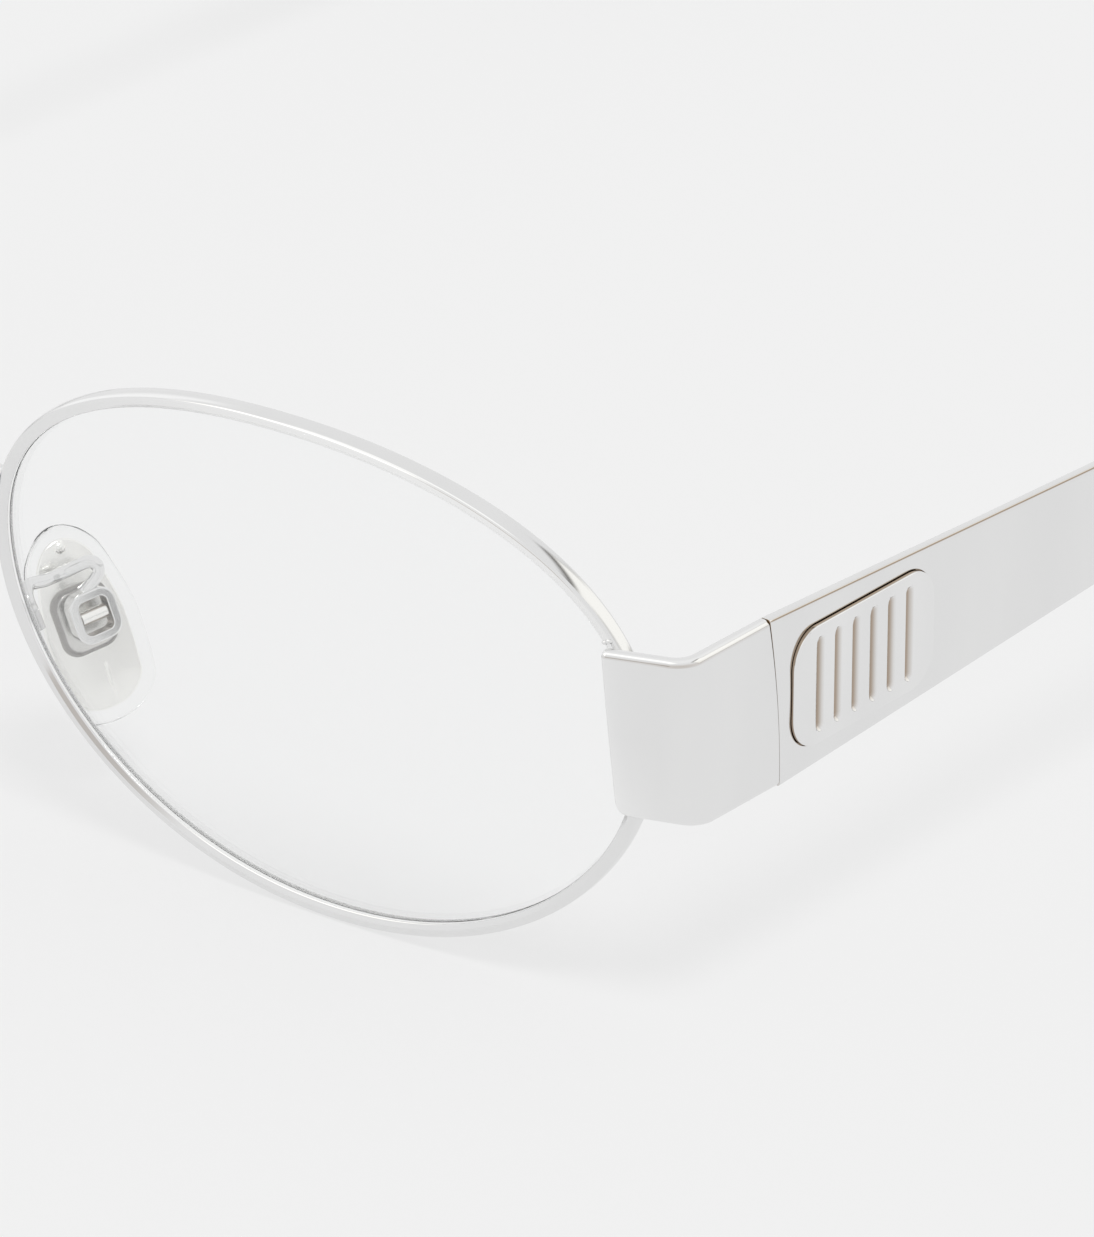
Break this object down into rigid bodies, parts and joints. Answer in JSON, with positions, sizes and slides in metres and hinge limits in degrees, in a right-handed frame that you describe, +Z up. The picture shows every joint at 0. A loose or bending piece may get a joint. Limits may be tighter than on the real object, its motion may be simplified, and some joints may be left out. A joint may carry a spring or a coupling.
{
  "type": "oval metal eyeglasses",
  "caption": "Oval wire-rim eyeglasses with wide bent end pieces, tapering folding temples, rocking nose pads and acetate ear tips.",
  "frame": {"origin": "middle of the footprint, on the table that the glasses stand on", "axes": "+X towards the wearer's left temple, +Y from the front back along the temples, +Z up"},
  "size_m": [0.1326, 0.155, 0.0386],
  "materials": {
    "polished_silver_metal": "polished",
    "screw_steel": "satin",
    "clear_lens": "clear",
    "clear_silicone": "clear satin",
    "smoke_acetate": "gloss"
  },
  "bodies": {
    "front": {"bridge": "polished_silver_metal", "left_rim": "polished_silver_metal", "left_lens": "clear_lens", "left_end_piece": "polished_silver_metal", "left_closing_block_upper": "polished_silver_metal", "left_closing_block_lower": "polished_silver_metal", "left_closing_screw": "screw_steel", "left_hinge_front_leaf": "polished_silver_metal", "left_hinge_screw": "screw_steel", "left_pad_arm": "polished_silver_metal", "left_pad_box": "polished_silver_metal", "right_rim": "polished_silver_metal", "right_lens": "clear_lens", "right_end_piece": "polished_silver_metal", "right_closing_block_upper": "polished_silver_metal", "right_closing_block_lower": "polished_silver_metal", "right_closing_screw": "screw_steel", "right_hinge_front_leaf": "polished_silver_metal", "right_hinge_screw": "screw_steel", "right_pad_arm": "polished_silver_metal", "right_pad_box": "polished_silver_metal"},
    "left_temple": {"left_temple": "polished_silver_metal", "left_temple_inlay": "polished_silver_metal", "left_temple_tip": "smoke_acetate", "left_hinge_rear_leaf": "polished_silver_metal"},
    "right_temple": {"right_temple": "polished_silver_metal", "right_temple_inlay": "polished_silver_metal", "right_temple_tip": "smoke_acetate", "right_hinge_rear_leaf": "polished_silver_metal"},
    "left_pad": {"left_pad": "clear_silicone", "left_pad_insert": "polished_silver_metal"},
    "right_pad": {"right_pad": "clear_silicone", "right_pad_insert": "polished_silver_metal"}
  },
  "joints": [
    {"name": "left_temple_fold", "type": "hinge", "parent": "front", "child": "left_temple", "pos_m": [0.06371, -0.06276, 0.02174], "axis": [0.0033, -0.0958, 0.9954], "range_deg": [0, 89]},
    {"name": "right_temple_fold", "type": "hinge", "parent": "front", "child": "right_temple", "pos_m": [-0.06371, -0.06276, 0.02174], "axis": [0.0033, 0.0958, -0.9954], "range_deg": [0, 85]},
    {"name": "left_pad_rock", "type": "hinge", "parent": "front", "child": "left_pad", "pos_m": [0.01044, -0.06698, 0.01327], "axis": [0.3673, 0.9091, 0.1966], "range_deg": [-8, 8]},
    {"name": "right_pad_rock", "type": "hinge", "parent": "front", "child": "right_pad", "pos_m": [-0.01044, -0.06698, 0.01327], "axis": [0.3673, -0.9091, -0.1966], "range_deg": [-8, 8]}
  ]
}
